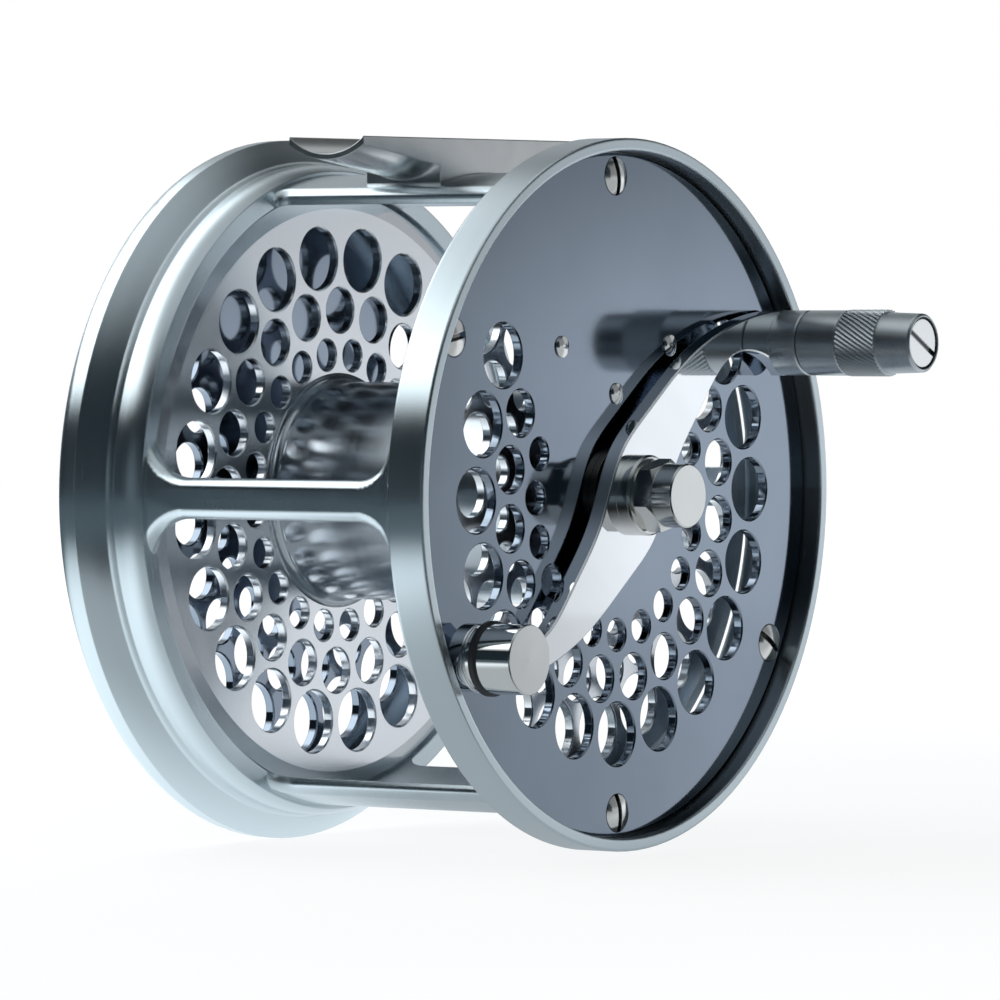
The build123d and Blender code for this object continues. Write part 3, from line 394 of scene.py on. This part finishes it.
# The card that the camera sees in the front plate, with fades along its own sides
CARD_AZIMUTH = -CAMERA_AZIMUTH
CARD_DISTANCE = 0.8
CARD_SIZE = (0.9, 0.7)
CARD_COLOUR = (0.88, 0.92, 0.96)
CARD_SIDE_FADE = (1.05, 0.55, 0.0, 0.065)
CARD_TOP_FADE = (1.0, 0.45, 0.03, 0.10)
CARD_FOOT_FADE = (0.75, 1.0, -0.10, -0.03)

# The card over the back of the reel
TOP_CARD_MIDDLE = (-0.06, 0.2, 0.16)
TOP_CARD_SIZE = (0.68, 0.4)
TOP_CARD_COLOUR = (0.95, 1.0, 1.02)
TOP_CARD_BACK_FADE = (0.5, 2.3, 0.05, 0.11)
TOP_CARD_RIGHT_FADE = (1.0, 0.2, 0.0, 0.10)
TOP_CARD_LEFT_FADE = (0.0, 1.0, -0.38, -0.18)

FLOOR_Z = CAD_BOX[0].z
FLOOR_SIZE = 3.0
# The floor as the camera sees it
FLOOR_COLOUR = (0.2, 0.2, 0.2)
FLOOR_TONES = ((0.95, 0.96, 0.97), (0.97, 0.97, 0.97))
FLOOR_CLOUDS = 3.0
FLOOR_GLOW_FADE = (0.90, 1.0, 0.05, 0.5)
# The floor as the reel reflects it
BLACK = (0, 0, 0)
FLOOR_NEAR = (1.16, 1.26, 1.32)
FLOOR_FAR = (0.08, 0.11, 0.13)
FLOOR_NEAR_FADE = (1.0, 0.0, 0.10, 0.30)
FLOOR_BACK_FADE = (0.36, 1.0, 0.0, 0.05)
FLOOR_FRONT_FADE = (0.0, 1.0, -0.085, -0.045)  # where the back of the handle sees it
UNDER_CARD_BACK_FADE = (1.0, 0.0, -0.06, -0.032)
UNDER_CARD_RIGHT_FADE = (0.0, 1.0, -0.03, 0.02)
UNDER_CARD_SIDE_SPREAD = (0.5, 0.9, -0.06, 0.0)


def direction(azimuth, elevation):
    """The unit vector from the reel towards a viewer; azimuth 0 is the crank side, 90 is +X."""
    a, e = math.radians(azimuth), math.radians(elevation)
    return Vector((math.sin(a) * math.cos(e), -math.cos(a) * math.cos(e), math.sin(e)))


def make_camera():
    data = bpy.data.cameras.new("camera")
    data.lens = CAMERA_LENS
    data.sensor_width = CAMERA_SENSOR
    camera = bpy.data.objects.new("camera", data)
    back = direction(CAMERA_AZIMUTH, CAMERA_ELEVATION)
    camera.location = CAMERA_AIM + back * CAMERA_DISTANCE
    look = (-back).to_track_quat("-Z", "Y").to_matrix()
    camera.rotation_euler = (look @ Matrix.Rotation(math.radians(CAMERA_ROLL), 3, "Z")).to_euler()
    bpy.context.scene.collection.objects.link(camera)
    bpy.context.scene.camera = camera


def make_plane(name, centre, facing, size, material):
    """A flat rectangle, part of the stage."""
    mesh = bpy.data.meshes.new(name)
    w, h = size[0] / 2, size[1] / 2
    mesh.from_pydata([(-w, -h, 0), (w, -h, 0), (w, h, 0), (-w, h, 0)], [], [(0, 1, 2, 3)])
    mesh.materials.append(material)
    plane = bpy.data.objects.new(name, mesh)
    plane.location = centre
    plane.rotation_euler = Vector(facing).to_track_quat("Z", "Y").to_euler()
    bpy.context.scene.collection.objects.link(plane)
    return plane


def reflected_floor(s, where):
    """The floor's light in reflections: brighter behind the reel, dark in front of it and far
    away, and bright again under the front card."""
    x, y, _ = s.split(where)
    near = s.fade(s.length(x, y), *FLOOR_NEAR_FADE)
    behind = s.math("MULTIPLY", s.fade(y, *FLOOR_BACK_FADE), s.fade(y, *FLOOR_FRONT_FADE))
    light = s.mix(near, FLOOR_FAR, s.mix(behind, BLACK, FLOOR_NEAR))
    under_card = s.math("MULTIPLY", s.fade(y, *UNDER_CARD_BACK_FADE), s.fade(x, *UNDER_CARD_RIGHT_FADE))
    along_card = s.dot(where, tuple(direction(CARD_AZIMUTH + 90, 0)))
    card_light = s.mix(s.spread(along_card, *UNDER_CARD_SIDE_SPREAD), BLACK, CARD_COLOUR)
    return s.mix(under_card, light, card_light)


def floor_material():
    """Pale and matt to the eye, with its own pattern of light in reflections."""
    material, s = new_material("pale_floor")
    where = s.place()
    x, y, _ = s.split(where)
    tone = s.mix(s.spread(s.noise(where, scale=FLOOR_CLOUDS, detail=3.0), 0.0, 1.0), *FLOOR_TONES)
    glow = s.fade(s.length(x, y), *FLOOR_GLOW_FADE)
    finish_surface(s, Base_Color=(*FLOOR_COLOUR, 1), Roughness=0.8, Specular_IOR_Level=0.0)
    finish_surface(s, Emission_Color=tone, Emission_Strength=glow)
    seen = s.tree.nodes["Principled BSDF"].outputs[0]
    reflected = s.node("ShaderNodeEmission", reflected_floor(s, where), 1.0).outputs[0]
    glossy = s.node("ShaderNodeLightPath").outputs["Is Glossy Ray"]
    both = s.node("ShaderNodeMixShader", glossy, seen, reflected)
    s.feed(s.tree.nodes["Material Output"].inputs["Surface"], both.outputs[0])
    return material


def glowing_material(name, colour, point, *fades):
    """Plain light with fades, each given as a side of the point and its four numbers.

    point is Shader.place or Shader.own_place.
    """
    material, s = new_material(name)
    s.tree.nodes.clear()
    sides = dict(zip("xyz", s.split(point(s))))
    glow = 1.0
    for side, fade in fades:
        glow = s.math("MULTIPLY", glow, s.fade(sides[side], *fade))
    made = s.node("ShaderNodeEmission", (*colour, 1), glow)
    s.node("ShaderNodeOutputMaterial", made.outputs[0])
    return material


def make_world():
    """White to the camera; to reflections, a dark cool room with soft lights over a bright ground."""
    world = bpy.data.worlds.new("studio")
    world.use_nodes = True
    bpy.context.scene.world = world
    s = Shader(world.node_tree)
    s.tree.nodes.clear()
    way = s.node("ShaderNodeTexCoord").outputs["Generated"]
    colour = ROOM
    for azimuth, elevation, inner, outer, light in ROOM_LIGHTS:
        towards = s.dot(way, tuple(direction(azimuth, elevation)))
        edge, core = math.cos(math.radians(outer)), math.cos(math.radians(inner))
        colour = s.mix(s.fade(towards, 0.0, 1.0, edge, core), colour, light)
    height = s.split(way)[2]
    colour = s.mix(s.fade(height, *GROUND_FADE), colour, GROUND)
    room = s.node("ShaderNodeBackground", colour, 1.0)
    white = s.node("ShaderNodeBackground", (1, 1, 1, 1), 1.0)
    seen = s.node("ShaderNodeLightPath").outputs["Is Camera Ray"]
    both = s.node("ShaderNodeMixShader", seen, room.outputs[0], white.outputs[0])
    s.node("ShaderNodeOutputWorld", both.outputs[0])


def make_cards():
    """Two glowing cards, which only reflections and light rays see."""
    fades = ("x", CARD_SIDE_FADE), ("y", CARD_TOP_FADE), ("y", CARD_FOOT_FADE)
    glow = glowing_material("front_card", CARD_COLOUR, Shader.own_place, *fades)
    place = direction(CARD_AZIMUTH, -CAMERA_ELEVATION) * CARD_DISTANCE
    make_plane("front_card", place, -place, CARD_SIZE, glow).visible_camera = False

    fades = ("y", TOP_CARD_BACK_FADE), ("x", TOP_CARD_RIGHT_FADE), ("x", TOP_CARD_LEFT_FADE)
    glow = glowing_material("top_card", TOP_CARD_COLOUR, Shader.place, *fades)
    make_plane("top_card", TOP_CARD_MIDDLE, (0, 0, -1), TOP_CARD_SIZE, glow).visible_camera = False


def make_studio():
    make_world()
    make_plane("floor", (0, 0, FLOOR_Z), (0, 0, 1), (FLOOR_SIZE, FLOOR_SIZE), floor_material())
    make_cards()
    bpy.context.scene.view_settings.view_transform = "Standard"


dress_frame()
dress_spool()
dress_crank()
dress_small_parts()
smooth_shading()
make_camera()
make_studio()
